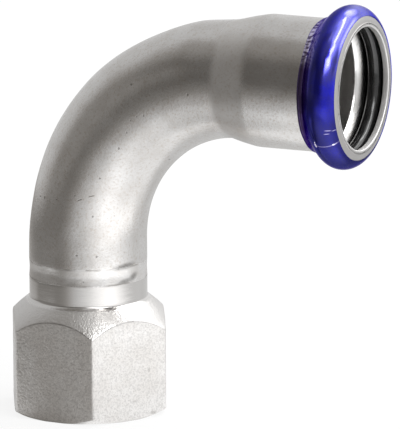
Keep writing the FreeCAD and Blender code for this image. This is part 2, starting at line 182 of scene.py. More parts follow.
def hexagon_columns():
    """Directions round the hexagon, close together at its rounded edges, and its reach there.

    A flat reaches flats / cos(angle from its middle). A rounded edge is a circle set in by
    its radius, reached at c cos(a) + sqrt(r^2 - (c sin(a))^2) for an angle a off its middle.
    """
    corner = np.radians(30)
    edge_centre = (HEX_HALF_FLATS - HEX_EDGE_ROUND) / np.cos(corner)
    touch_along = edge_centre + HEX_EDGE_ROUND * np.cos(corner)
    touch = np.degrees(np.arctan2(HEX_EDGE_ROUND / 2, touch_along))
    edge = np.linspace(-touch, touch, HEX_EDGE_COLUMNS)
    flat = np.linspace(touch, 60 - touch, HEX_FLAT_COLUMNS + 2)[1:-1]
    a = np.radians(edge)
    edge_reach = np.sqrt(HEX_EDGE_ROUND ** 2 - (edge_centre * np.sin(a)) ** 2)
    edge_reach = edge_centre * np.cos(a) + edge_reach
    flat_reach = HEX_HALF_FLATS / np.cos(np.radians(flat - 30))
    turn = (np.concatenate([edge, flat])[None] + 60 * np.arange(6)[:, None]).ravel() + HEX_TURN
    return np.radians(turn), np.tile(np.concatenate([edge_reach, flat_reach]), 6)


def shoulder_height(across):
    """Height of the domed shoulder: a circle through its top and the hexagon's corners."""
    (low_across, low), (top_across, top) = SHOULDER_CORNER, (TUBE_RADIUS, SHOULDER_TOP)
    chord = np.hypot(low_across - top_across, low - top)
    back = np.sqrt(SHOULDER_CURVE ** 2 - chord ** 2 / 4) / chord
    centre_across = (low_across + top_across) / 2 + (low - top) * back
    centre = (low + top) / 2 - (low_across - top_across) * back
    return float(centre) + (SHOULDER_CURVE ** 2 - (across - float(centre_across)) ** 2) ** 0.5


def thread_reach(height, turn):
    """Reach of the pipe thread's wall: a right-hand groove that climbs one pitch a turn.

    The groove is a triangle wave of height / pitch - turn / 360, cut off a sixth from its
    crests and roots and eased there, and it fades out over its last turn.
    """
    phase = (height / THREAD_PITCH - turn / (2 * np.pi)) % 1
    wave = np.clip(1.5 * np.abs(2 * phase - 1) - 0.25, 0, 1)
    wave = (wave + ease(wave, 0, 1)) / 2
    fade = ease(height, THREAD_END - THREAD_FADE[0], THREAD_END - THREAD_FADE[1])
    depth = wave * fade - (1 - fade) * THREAD_RUNOUT
    return THREAD_CREST + (THREAD_ROOT - THREAD_CREST) * depth


turn, hex_reach = hexagon_columns()
face_reach = np.minimum(END_FACE_RADIUS, hex_reach - FACE_INSET)
chamfer_rise = np.tan(np.radians(END_CHAMFER_SLOPE))
chamfer_top = np.maximum(LEAST_CHAMFER, (hex_reach - END_FACE_RADIUS) * chamfer_rise)
dome = [hex_reach + (TUBE_RADIUS - hex_reach) * share for share in DOME_SHARES]
outline = trace(
    [(THREAD_ENTRY, 0, EDGE_SOFTNESS, 4),
     (face_reach, 0, EDGE_SOFTNESS, 3),
     (hex_reach, chamfer_top, EDGE_SOFTNESS, 44),
     (hex_reach, shoulder_height(hex_reach), 0.16, 1)]
    + [(reach, shoulder_height(reach), 0, 1) for reach in dome]
    + [(TUBE_RADIUS, SHOULDER_TOP, 0.4, 8),
       (TUBE_RADIUS, WELD_FOOT, 0.03, 2),
       (TUBE_BORE, BEVEL_TOP, 0.03, 4),
       (WATERWAY, WATERWAY_TOP, 0.2, 8),
       (WATERWAY, THREAD_END + THREAD_CREST - WATERWAY, 0.1, 2),
       (THREAD_CREST, THREAD_END, 0.05, 108),
       (THREAD_CREST, THREAD_ENTRY - THREAD_CREST, 0.05, 5)])
reach, height = outline[:, 0], outline[:, 1]
reach = np.maximum(reach, np.where(height < THREAD_END, thread_reach(height, turn), 0))
points = round_upright(reach, turn, height)

cast = ease(reach, *SKIN_EDGE_ACROSS) * ease(height, *(chamfer_top + rise for rise in SKIN_EDGE_UP))
skin = (layered(points, MOULD_SKIN) - SKIN_SUNK) * cast
upward = ease(height, *SKIN_TIPS_UPWARD)
points[..., 0] += skin * (1 - upward) * np.cos(turn)
points[..., 1] += skin * (1 - upward) * np.sin(turn)
points[..., 2] += skin * upward
threaded_end = ring_mesh("threaded_end_casting", points)


class Signal:
    """A socket in a finish. A sum written with it adds Math nodes to that finish."""

    def __init__(self, tree, socket=None):
        self.tree = tree
        self.socket = socket

    def node(self, kind, output, settings=None, sockets=None):
        """Add a node of a type, set it up, feed its sockets and give one of its outputs."""
        made = self.tree.nodes.new(kind)
        for name, value in (settings or {}).items():
            setattr(made, name, value)
        for key, value in (sockets or {}).items():
            if isinstance(value, Signal):
                self.tree.links.new(value.socket, made.inputs[key])
            else:
                made.inputs[key].default_value = value
        return Signal(self.tree, made.outputs[output])

    def maths(self, operation, *values):
        """Math node of an operation on these values."""
        return self.node("ShaderNodeMath", 0, {"operation": operation}, dict(enumerate(values)))

    def __add__(self, other):
        return self.maths("ADD", self, other)

    def __radd__(self, other):
        return self.maths("ADD", other, self)

    def __sub__(self, other):
        return self.maths("SUBTRACT", self, other)

    def __rsub__(self, other):
        return self.maths("SUBTRACT", other, self)

    def __mul__(self, other):
        return self.maths("MULTIPLY", self, other)

    def __rmul__(self, other):
        return self.maths("MULTIPLY", other, self)

    def __truediv__(self, other):
        return self.maths("DIVIDE", self, other)

    def __rtruediv__(self, other):
        return self.maths("DIVIDE", other, self)

    def __pow__(self, other):
        return self.maths("POWER", self, other)

    def __abs__(self):
        return self.maths("ABSOLUTE", self)

    def larger(self, other):
        """The larger of this and another value."""
        return self.maths("MAXIMUM", self, other)

    def between(self, low, high):
        """0 where this is under low, 1 where it is over high, eased between."""
        settings = {"interpolation_type": "SMOOTHSTEP", "clamp": True}
        return self.node("ShaderNodeMapRange", 0, settings, {0: self, 1: low, 2: high})

    def mix(self, first, second):
        """Colour that goes from the first to the second as this goes from 0 to 1."""
        return self.node("ShaderNodeMix", 2, {"data_type": "RGBA"}, {0: self, 6: first, 7: second})


def grey(level, warmth=0.0):
    """Linear colour of a grey, with more red and less blue the warmer it is."""
    return (level * (1 + warmth), level, level * (1 - warmth), 1.0)


def start_finish(name, constants):
    """A material, its place signal in object coordinates, and its shader's sockets set."""
    material = bpy.data.materials.new(name)
    material.use_nodes = True
    shader = material.node_tree.nodes["Principled BSDF"]
    for socket, value in constants.items():
        shader.inputs[socket].default_value = value
    place = Signal(material.node_tree).node("ShaderNodeTexCoord", "Object")
    return material, place


def feed_shader(material, signals):
    """Lead signals to the shader's sockets."""
    shader = material.node_tree.nodes["Principled BSDF"]
    for socket, signal in signals.items():
        material.node_tree.links.new(signal.socket, shader.inputs[socket])


def noise(place, size, detail=3.0, roughness=0.55):
    """Cloudy pattern from 0 to 1 with patches about this many millimetres across."""
    sockets = {"Vector": place, "Scale": 1 / (size * MM), "Detail": detail, "Roughness": roughness}
    return place.node("ShaderNodeTexNoise", 0, {}, sockets)


def relief(height, depth):
    """Surface normal of a pattern that stands this many millimetres high."""
    return height.node("ShaderNodeBump", "Normal", {}, {"Height": height, "Distance": depth * MM})


def stretched(place, x, y, z):
    """The place with each axis scaled, for patterns that run in one direction."""
    return place.node("ShaderNodeMapping", 0, {}, {"Vector": place, "Scale": (x, y, z)})


def axis_of(place, name):
    """One coordinate of the place, in millimetres."""
    return place.node("ShaderNodeSeparateXYZ", name, {}, {0: place}) / MM


def mark(place, core, centre, half_sizes, turned=(0, 0, 0)):
    """1 in the core of an ellipsoid and 0 outside it, for a single blemish in its own place.

    Lengths are millimetres, and the ellipsoid is turned by degrees about X, Y and Z.
    """
    own = place.node("ShaderNodeMapping", 0, {"vector_type": "TEXTURE"}, {
        "Vector": place,
        "Location": [value * MM for value in centre],
        "Rotation": np.radians(turned),
        "Scale": [value * MM for value in half_sizes],
    })
    distance = own.node("ShaderNodeVectorMath", "Value", {"operation": "LENGTH"}, {0: own})
    return 1 - distance.between(core, 1)


def marks(place, blemishes, core=0.45):
    """All of a list of blemishes (centre, half sizes and, where turned, degrees) in one signal."""
    total = mark(place, core, *blemishes[0])
    for blemish in blemishes[1:]:
        total = total.larger(mark(place, core, *blemish))
    return total


def cast_steel():
    """Pearly cast skin, and turned rings on the spigot, bore, end face and chamfer's foot."""
    material, place = start_finish("cast_and_turned_steel", {"Metallic": 1.0})
    across, along, up = (axis_of(place, name) for name in "XYZ")
    radius = (across * across + along * along) ** 0.5
    turned = 1 - radius.between(11.3, 11.9) * up.between(0.15, 0.5)
    pebbles = noise(place, 0.42, 1.0)
    dimples = noise(place, 0.2, 1.0)
    sand = noise(stretched(place, 1.0, 1.0, 0.6), 0.34, 1.0)
    blotch = noise(place, 5.0, 4.0)
    rings = noise(stretched(place, 0.02, 0.02, 1.0), 0.09, 1.0)
    shoulder = (up - shoulder_height(radius)).between(-0.3, -0.1) * (1 - turned)
    skin = (pebbles * 0.65 + dimples * 0.35 + sand * 0.8 * shoulder) * (1 - shoulder * 0.4)
    skin = skin * (1 - turned) + rings * 0.06 * turned
    colour = blotch.between(0.3, 0.7).mix(grey(0.7, 0.03), grey(0.78, 0.015))
    colour = shoulder.mix(colour, grey(0.58, 0.02))
    colour = turned.mix(colour, grey(0.58, 0.02))
    hollow = (1 - turned) * (1 - shoulder * 0.8)
    colour = ((1 - pebbles.between(0.36, 0.56)) * 0.36 * hollow).mix(colour, grey(0.45, 0.02))
    colour = ((1 - dimples.between(0.28, 0.52)) * 0.36 * hollow).mix(colour, grey(0.36, 0.05))
    colour = (marks(place, CAST_SMUDGES, 0.1) * 0.5).mix(colour, grey(0.3, 0.05))
    feed_shader(material, {
        "Base Color": colour,
        "Roughness": 0.36 - 0.25 * turned - 0.06 * shoulder + 0.1 * (dimples - 0.5) * (1 - turned),
        "Normal": relief(skin, 0.1),
    })
    return material


threaded_end.data.materials.append(cast_steel())
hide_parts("threaded_end")
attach(threaded_end, "root")


# Weld seam
# A ring of fused steel between the spigot and the tube, laid by a torch going once round.
# It is ground nearly flush, stays a little hollow, and keeps a trace of its ripples.

WELD_TOP = 28.5
WELD_MIDDLE = (WELD_FOOT + WELD_TOP) / 2
WELD_BEVEL = 0.75
WELD_HOLLOW = 0.1
WELD_ROOT_BEAD = 0.2
WELD_COLUMNS = 360
WELD_PROUD = 0.012
WELD_EDGE_SUNK = 0.05
WELD_LAP = 0.08
WELD_LAP_SUNK = 0.12
WELD_FOOT_WANDER = ((2.6, 0.10, 21), (1.1, 0.05, 22))
WELD_TOP_WANDER = ((2.9, 0.13, 23), (1.1, 0.05, 24))
WELD_LUMPS = ((1.9, 0.028, 25),)
WELD_RIPPLE = 0.002
WELD_RIPPLES_ROUND = 62
WELD_RIPPLE_BOW = 2.2
# Dark patches on the weld. The first is painted shade under the tube's lower end; the others are
# only darker patches.
WELD_DARK_PATCHES = (
    ((9.82, -4.96, 28.7), (1.2, 3.8, 0.85), (6, 0, -27)),
    ((9.9, -4.7, 25.9), (1.2, 3.0, 0.75), (8, 0, -25)),
    ((10.6, -2.9, 26.4), (1.2, 2.0, 0.95), (24, 0, -16)),
    ((3.91, -10.22, 26.26), (0.22, 0.22, 0.22)),
)

weld_turn = np.linspace(0, 2 * np.pi, WELD_COLUMNS, endpoint=False)
circle = round_upright(TUBE_RADIUS, weld_turn, 0 * weld_turn)
wander_foot = layered(circle, WELD_FOOT_WANDER)
wander_top = layered(circle, WELD_TOP_WANDER)
outline = trace([
    (TUBE_RADIUS + WELD_PROUD - WELD_EDGE_SUNK, WELD_FOOT - WELD_LAP_SUNK + wander_foot, 0.02, 1),
    (TUBE_RADIUS + WELD_PROUD, WELD_FOOT - WELD_LAP + wander_foot, 0.05, 3),
    (TUBE_RADIUS - 0.03, WELD_FOOT + 0.5 + wander_foot, 0.2, 3),
    (TUBE_RADIUS - WELD_HOLLOW, WELD_MIDDLE, 0.5, 3),
    (TUBE_RADIUS - 0.04, WELD_TOP - 0.5 + wander_top, 0.2, 3),
    (TUBE_RADIUS + WELD_PROUD, WELD_TOP + WELD_LAP + wander_top, 0.05, 1),
    (TUBE_RADIUS + WELD_PROUD - WELD_EDGE_SUNK, WELD_TOP + WELD_LAP_SUNK + wander_top, 0.02, 2),
    (TUBE_BORE + 0.02, WELD_TOP - WELD_BEVEL, 0.02, 2),
    (TUBE_BORE - WELD_ROOT_BEAD * 0.7, WELD_MIDDLE + 0.4, 0.3, 2),
    (TUBE_BORE - WELD_ROOT_BEAD * 0.7, WELD_MIDDLE - 0.4, 0.3, 2),
    (TUBE_BORE + 0.02, WELD_FOOT + WELD_BEVEL, 0.02, 2),
])
reach, height = outline[:, 0], outline[:, 1]
middle = 1 - np.abs(height - WELD_MIDDLE) / (WELD_TOP - WELD_MIDDLE)
ripple = np.sin(weld_turn * WELD_RIPPLES_ROUND + WELD_RIPPLE_BOW * middle ** 2)
ripple = WELD_RIPPLE * ripple * ease(middle, 0.05, 0.4)
lumps = layered(circle, WELD_LUMPS) * ease(middle, 0.0, 0.5)
reach = reach + ripple + lumps
weld = ring_mesh("weld_ring", round_upright(reach, weld_turn, height))


def weld_metal():
    """Pickled weld, bright in the middle, with a brown heat tint left along its borders."""
    material, place = start_finish("pickled_weld_metal", {"Metallic": 1.0})
    up = axis_of(place, "Z")
    fine = noise(place, 0.3, 2.0)
    cloud = noise(stretched(place, 1.0, 1.0, 2.4), 3.2, 4.0)
    stain = abs(up - WELD_MIDDLE).between(1.15, 1.6) * cloud.between(0.4, 0.6)
    colour = cloud.between(0.3, 0.75).mix(grey(0.72, 0.01), grey(0.62, 0.03))
    colour = (stain * 0.6).mix(colour, grey(0.22, 0.08))
    # Painted shade under the tube's end, and the other dark patches, broken up by the fine pattern.
    dark_patches = marks(place, WELD_DARK_PATCHES, 0.15) * (fine + 0.55)
    colour = (dark_patches * 0.6).mix(colour, grey(0.12, 0.04))
    feed_shader(material, {
        "Base Color": colour,
        "Roughness": 0.24 + 0.1 * fine + 0.1 * stain,
        "Normal": relief(fine * 0.5 + cloud * 0.8, 0.04),
    })
    return material


weld.data.materials.append(weld_metal())
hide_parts("weld_seam")
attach(weld, "root")


# Bent tube with its press socket
# One length of thin stainless tube, drawn round a quarter bend. Its end is widened for the
# pipe and rolled out to a bead for the seal, then the whole is pickled to a satin grey.

BEND_FOOT = 32.6
BEND_RADIUS = 32.5
BEND_LENGTH = BEND_RADIUS * np.pi / 2
WALL = 1.1
FLARE_EARLY = 2.9
FLARE_SLOPE = 11.5
FLARE_START_CURVE = 8.0
FLARE_END_CURVE = 8.0
FLARE_LEAN = 0.4
FLARE_LEAN_FADE = 9.0
NECK = 0.26
SOCKET_RADIUS = 12.25
SOCKET_REACH = 23.4
MOUTH_PLANE = BEND_LENGTH + SOCKET_REACH
BEAD_CROWN = 14.95
BEAD_CURVE = 3.1
BEAD_CENTRE = (BEAD_CROWN - BEAD_CURVE, MOUTH_PLANE - BEAD_CURVE)
BEAD_FLANK = 46.0
BEAD_ROOT_CURVE = 1.4
MOUTH_RADIUS = 11.3
LIP_INSIDE = MOUTH_PLANE - WALL
TUBE_COLUMNS = 168
BEND_FLATTENING = 0.34
FLATTENING_STARTS, FLATTENING_ENDS = (-0.04, 0.12), (0.88, 0.72)  # in shares of the bend
NECK_STARTS, NECK_ENDS = (0.85, 0.93), (1.03, 0.95)
TUBE_WAVES = ((9.0, 0.05, 31), (3.6, 0.022, 32))
WAVES_SUNK = 0.01
WAVES_START = (-3.6, -1.0)
WAVES_END_PAST_BEND = (13.0, 15.0)
WAVES_DEPTH = (0.4, 0.1)
GROOVE_CORNER = 0.35
SOCKET_AXIS = BEND_FOOT + BEND_RADIUS
UNDERCUT_SHADE = WELD_DARK_PATCHES[:1]  # painted shade under the tube's end: the weld's first dark patch spreads on to the tube
BORE_WALL, BORE_STARTS = (11.5, 11.9), (36.5, 38.0)
CUT_EDGE_STARTS, LIP_FACE_STARTS = (54.4, 54.8), (11.35, 11.6)
GROOVE_STARTS, GROOVE_ENDS = (50.0, 50.6), (53.9, 54.2)
WIDENED_STARTS, WIDENED_ENDS, WIDENED_ABOVE = (29.0, 31.0), (35.0, 38.0), (46.0, 52.0)
PIT_SPACING = 4.2
TUBE_PITS = (
    ((11.34, -10.35, 52.23), (0.26, 0.3, 0.34)),
    ((7.39, -10.27, 46.24), (0.28, 0.3, 0.22)),
    ((5.67, -9.8, 38.83), (0.24, 0.3, 0.24)),
    ((13.94, -10.07, 64.36), (0.3, 0.3, 0.24)),
    ((16.68, -10.83, 58.94), (0.16, 0.3, 0.3)),
    ((15.3, -10.91, 58.65), (0.16, 0.3, 0.16)),
    ((14.08, -10.91, 57.81), (0.16, 0.3, 0.16)),
    ((13.15, -10.69, 55.44), (0.16, 0.3, 0.24)),
    ((25.63, -10.98, 63.61), (0.2, 0.3, 0.3)),
    ((18.27, -3.11, 49.33), (0.3, 0.3, 0.24)),
    ((-5.5, -8.71, 41.4), (0.3, 0.3, 0.2)),
    ((-4.2, -9.5, 41.4), (0.24, 0.4, 0.4)),
    ((-1.22, -10.74, 41.62), (0.2, 0.3, 0.2)),
    ((3.5, -10.8, 41.95), (0.75, 0.3, 0.12), (0, -22, 0)),
    ((5.7, -10.3, 42.75), (0.85, 0.4, 0.13), (0, -14, 12)),
    ((6.1, -9.14, 31.16), (0.24, 0.4, 0.24)),
    ((2.73, -10.64, 31.36), (0.3, 0.4, 0.18)),
)


def curve_run(slope, low_curve, high_curve, drop):
    """Run between the centres of two curves that a slope joins, the low one's centre outside."""
    slope = np.radians(slope)
    return (low_curve + high_curve - np.cos(slope) * drop) / np.sin(slope)


def curve(centre, radius, start, end, count, steps_after=1):
    """Corners along part of a circle; direction 0 is outwards and 90 is along the tube."""
    turns = np.radians(np.linspace(start, end, count))
    places = [(centre[0] + radius * np.cos(a), centre[1] + radius * np.sin(a), 0, 1) for a in turns]
    places[-1] = places[-1][:3] + (steps_after,)
    return places


flare_start = (TUBE_RADIUS + FLARE_START_CURVE, BEND_LENGTH - FLARE_EARLY)
flare_end_across = SOCKET_RADIUS - FLARE_END_CURVE
flare_drop = flare_start[0] - flare_end_across
flare_run = curve_run(FLARE_SLOPE, FLARE_START_CURVE, FLARE_END_CURVE, flare_drop)
flare_end = (flare_end_across, flare_start[1] + flare_run)
bead_root_across = SOCKET_RADIUS + BEAD_ROOT_CURVE
bead_run = curve_run(BEAD_FLANK, BEAD_ROOT_CURVE, BEAD_CURVE, bead_root_across - BEAD_CENTRE[0])
bead_root = (bead_root_across, BEAD_CENTRE[1] - bead_run)

outer_wall = (
    [(TUBE_RADIUS, WELD_TOP - BEND_FOOT, 0.02, 8), (TUBE_RADIUS, 0, 0, 90)]
    + curve(flare_start, FLARE_START_CURVE, 180, 180 - FLARE_SLOPE, 6, 2)
    + curve(flare_end, FLARE_END_CURVE, -FLARE_SLOPE, 0, 8, 16)
    + curve(bead_root, BEAD_ROOT_CURVE, 180, 180 - BEAD_FLANK, 8, 3)
    + curve(BEAD_CENTRE, BEAD_CURVE, -BEAD_FLANK, 90, 22, 2))
mouth = [(MOUTH_RADIUS + 0.6, MOUTH_PLANE, 0, 1),
         (MOUTH_RADIUS, MOUTH_PLANE, 0.16, 3),
         (MOUTH_RADIUS, LIP_INSIDE, 0.12, 1),
         (MOUTH_RADIUS + 0.5, LIP_INSIDE, 0, 1)]
flank = np.radians(BEAD_FLANK)
groove_drop = BEAD_CENTRE[0] + (BEAD_CURVE - WALL) * np.cos(flank) - (SOCKET_RADIUS - WALL)
groove_corner_way = (BEAD_CENTRE[1] - (BEAD_CURVE - WALL) * np.sin(flank)
                     - groove_drop / np.tan(flank))
inner_wall = (
    curve(BEAD_CENTRE, BEAD_CURVE - WALL, 90, -BEAD_FLANK, 18, 5)
    + [(SOCKET_RADIUS - WALL, groove_corner_way, GROOVE_CORNER, 10)]
    + curve(flare_end, FLARE_END_CURVE - WALL, 0, -FLARE_SLOPE, 6, 2)
    + curve(flare_start, FLARE_START_CURVE + WALL, 180 - FLARE_SLOPE, 180, 6, 44)
    + [(TUBE_BORE, 0, 0, 4), (TUBE_BORE, WELD_TOP - WELD_BEVEL - BEND_FOOT, 0.02, 2)])


def along_bend(outline, turn):
    """Carry an outline of (reach, way along the middle line) round the tube.

    The middle line climbs to the bend, follows a quarter circle and runs on level. A point
    stands reach * (cos(turn) * away + sin(turn) * aside) off it, where away points from the
    bend's centre and aside is level.
    """
    reach, way = outline[:, 0], outline[:, 1]
    bent = np.clip(way / BEND_RADIUS, 0, np.pi / 2)
    away = np.stack([-np.cos(bent), 0 * bent, np.sin(bent)], axis=-1)
    middle = np.array([BEND_RADIUS, 0, BEND_FOOT]) + BEND_RADIUS * away
    middle[..., 2] += np.minimum(way, 0)
    middle[..., 0] += np.maximum(way - BEND_LENGTH, 0)
    aside = np.array([0, -1, 0])
    lift = reach * np.cos(turn)
    return middle + lift[..., None] * away + (reach * np.sin(turn))[..., None] * aside


tube_turn = np.linspace(0, 2 * np.pi, TUBE_COLUMNS, endpoint=False)
outline = trace(outer_wall + mouth + inner_wall)
outline = np.broadcast_to(outline, outline.shape[:2] + (TUBE_COLUMNS,)).copy()
points = along_bend(outline, tube_turn)
outside = ease(outline[:, 0], *(TUBE_RADIUS - depth for depth in WAVES_DEPTH))
free = ease(outline[:, 1], *WAVES_START)
free = free * (1 - ease(outline[:, 1], *(BEND_LENGTH + run for run in WAVES_END_PAST_BEND)))
outline[:, 0] += outside * free * (layered(points, TUBE_WAVES) - WAVES_SUNK)
along = outline[:, 1] / BEND_LENGTH
flattened = np.abs(np.cos(np.pi * np.clip(along, 0, 1)))
flattened = flattened * ease(along, *FLATTENING_STARTS) * ease(along, *FLATTENING_ENDS)
neck = ease(along, *NECK_STARTS) * ease(along, *NECK_ENDS)
outer_side = np.maximum(np.cos(tube_turn), 0) ** 2
outline[:, 0] -= (BEND_FLATTENING * flattened + NECK * neck) * outer_side
leaning = ease(outline[:, 1], flare_start[1] - FLARE_LEAN_FADE, flare_start[1])
leaning = leaning * ease(outline[:, 1], flare_end[1] + FLARE_LEAN_FADE, flare_end[1])
outline[:, 1] += FLARE_LEAN * leaning * np.cos(tube_turn)
tube = ring_mesh("bent_tube_and_socket", along_bend(outline, tube_turn))


def pickled_steel():
    """Satin pickled tube: clouded, faintly mottled, with short scratches and small pits."""
    material, place = start_finish("pickled_tube_steel", {"Metallic": 1.0})
    across, along, up = (axis_of(place, name) for name in "XYZ")
    off_axis = (along * along + (up - SOCKET_AXIS) ** 2) ** 0.5
    inside = (1 - off_axis.between(*BORE_WALL)) * across.between(*BORE_STARTS)
    cut_edge = across.between(*CUT_EDGE_STARTS)
    lip_face = cut_edge * off_axis.between(*LIP_FACE_STARTS)
    lip_wall = cut_edge - lip_face
    groove_shade_and_grease = across.between(*GROOVE_STARTS) * (1 - across.between(*GROOVE_ENDS))
    plain = inside.larger(cut_edge)
    widened = across.between(*WIDENED_STARTS) * (1 - across.between(*WIDENED_ENDS))
    widened = widened * up.between(*WIDENED_ABOVE)
    mottle = noise(place, 0.5, 3.0)
    cloud = noise(place, 6.5, 5.0, 0.6)
    grain = noise(place, 0.16, 2.0)
    streak = noise(stretched(place, 0.35, 3.0, 0.35), 1.1, 3.0)
    cells = place.node("ShaderNodeTexVoronoi", "Distance", {}, {
        "Vector": place, "Scale": 1 / (PIT_SPACING * MM)})
    pit = (1 - cells.between(0.025, 0.05)) * cloud.between(0.5, 0.58) * 0.6
    pit = (pit * (1 - plain)).larger(marks(place, TUBE_PITS))
    speck = noise(place, 0.3, 1.0).between(0.66, 0.74) * (1 - plain)
    colour = cloud.between(0.32, 0.7).mix(grey(0.64, 0.012), grey(0.55, 0.03))
    colour = (streak.between(0.5, 0.75) * 0.3).mix(colour, grey(0.68, 0.01))
    colour = (mottle.between(0.5, 0.72) * 0.5 * (1 - plain)).mix(colour, grey(0.42, 0.12))
    colour = (speck * 0.25).mix(colour, grey(0.3, 0.1))
    # Painted shade under the tube's lower end, where it meets the weld.
    colour = (marks(place, UNDERCUT_SHADE, 0.15) * 0.75 * (mottle + 0.5)).mix(colour, grey(0.14, 0.04))
    colour = (pit * 0.6).mix(colour, grey(0.15, 0.08))
    colour = (inside * 0.85).mix(colour, grey(0.86, 0.01))
    # The seal's groove is painted nearly black: painted shade between the seal and the steel, with
    # grease.
    colour = (groove_shade_and_grease * 0.85).mix(colour, grey(0.06))
    colour = (lip_face * 0.5).mix(colour, grey(0.3, 0.01))
    roughness = 0.14 + (0.1 * mottle + 0.07 * cloud) * (1 - inside * 0.5) + 0.16 * cut_edge
    skin = (mottle * 0.4 + grain * 0.2) * (1 - plain * 0.8) + cloud * 0.5 - pit * 0.4
    feed_shader(material, {
        "Base Color": colour,
        "Roughness": roughness + 0.2 * widened + 0.2 * lip_wall,
        "Normal": relief(skin, 0.05),
    })
    return material


tube.data.materials.append(pickled_steel())
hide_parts("elbow_tube")
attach(tube, "root")


# Seal ring
# A moulded ring of black rubber, lying in the bead and lightly greased. It stands a little
# proud of the socket's wall so that the pipe squeezes it.

SEAL_CURVE = 1.375
SEAL_CLEARANCE = 0.02
SEAL_CENTRE = (BEAD_CROWN - WALL - SEAL_CLEARANCE - SEAL_CURVE, BEAD_CENTRE[1])

outline = trace(curve(SEAL_CENTRE, SEAL_CURVE, -180, 180, 41)[:-1])
points = along_bend(np.broadcast_to(outline, outline.shape[:2] + (TUBE_COLUMNS,)), tube_turn)
seal = ring_mesh("rubber_seal_ring", points)


def greased_rubber():
    """Black rubber with a thin, patchy coat of grease."""
    material, place = start_finish("greased_seal_rubber", {"Metallic": 0.0, "IOR": 1.6})
    grease = noise(place, 1.6, 4.0)
    colour = grease.between(0.4, 0.7).mix(grey(0.010), grey(0.02))
    feed_shader(material, {
        "Base Color": colour,
        "Roughness": 0.07 + 0.1 * grease,
        "Normal": relief(noise(place, 0.5, 3.0), 0.02),
    })
    return material


seal.data.materials.append(greased_rubber())
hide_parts("seal_ring")
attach(seal, "root")


# Press indicator
# A band of thin blue film, shrunk over the bead by heat and torn off after pressing. It is
# stretched tight on the crown and stays loose and wrinkled at its rear edge.

FILM = 0.14
FILM_FRONT_RADIUS = 13.2
FILM_COLUMNS = 420
FILM_TAIL = 0.35
FILM_CLEARANCE = 0.005
FILM_LOOSE_FROM_ROOT = 0.2
FILM_TIGHT_BEFORE_CROWN = 1.2
FILM_LIFT = 0.05
PLEAT_HEIGHT = 0.03
PLEAT_RADIUS = 12.3
PLEATS = ((1.5, 1.0, 41), (0.7, 0.6, 42))
EDGE_WANDER = 0.14
SEAM_TURN = 125.2
# Creases on the near side of the film, raised in relief and painted pale as highlights.
FILM_LIT_CREASES = (
    ((54.6, -13.5, 59.75), (0.9, 0.5, 0.09), (0, 0, 30)),
    ((55.5, -12.6, 59.75), (0.7, 0.5, 0.10), (0, -12, 40)),
    ((54.3, -13.4, 59.1), (0.7, 0.5, 0.08), (0, -4, 30)),
    ((55.2, -11.5, 57.0), (0.7, 0.6, 0.2), (0, -30, 40)),
)
FILM_GLINTS = (
    ((51.6, -12.1, 56.5), (0.32, 0.6, 0.5), (20, 0, 0)),
    ((51.56, -12.5, 57.1), (0.14, 0.5, 0.3)),
    ((49.3, -10.4, 56.7), (0.25, 0.6, 0.9), (0, 20, 0)),
    ((54.9, -11.7, 56.9), (0.3, 0.4, 0.16), (0, -20, 0)),
)

front = np.degrees(np.arccos((FILM_FRONT_RADIUS - BEAD_CENTRE[0]) / BEAD_CURVE))
film_inside = (
    [(SOCKET_RADIUS + FILM_CLEARANCE, bead_root[1] - FILM_TAIL, 0, 2)]
    + curve(bead_root, BEAD_ROOT_CURVE - FILM_CLEARANCE, 180, 180 - BEAD_FLANK, 12, 5)
    + curve(BEAD_CENTRE, BEAD_CURVE, -BEAD_FLANK, front, 40, 1))
film_outside = (
    curve(BEAD_CENTRE, BEAD_CURVE + FILM, front, -BEAD_FLANK, 40, 5)
    + curve(bead_root, BEAD_ROOT_CURVE - FILM, 180 - BEAD_FLANK, 180, 12, 2)
    + [(SOCKET_RADIUS + FILM, bead_root[1] - FILM_TAIL, 0, 1)])

film_turn = np.linspace(0, 2 * np.pi, FILM_COLUMNS, endpoint=False)
outline = trace((film_inside + film_outside)[::-1])
outline = np.broadcast_to(outline, outline.shape[:2] + (FILM_COLUMNS,)).copy()
loose_way = bead_root[1] + FILM_LOOSE_FROM_ROOT
tight_way = BEAD_CENTRE[1] - FILM_TIGHT_BEFORE_CROWN
loose = 1 - ease(outline[:, 1], loose_way, tight_way)
circle = round_upright(PLEAT_RADIUS, film_turn, 0 * film_turn)
outline[:, 0] += loose * (FILM_LIFT + PLEAT_HEIGHT * layered(circle, PLEATS))
outline[:, 1] += loose ** 2 * EDGE_WANDER * unevenness(circle, 5.0, 43)
film = ring_mesh("shrunk_indicator_film", along_bend(outline, film_turn))


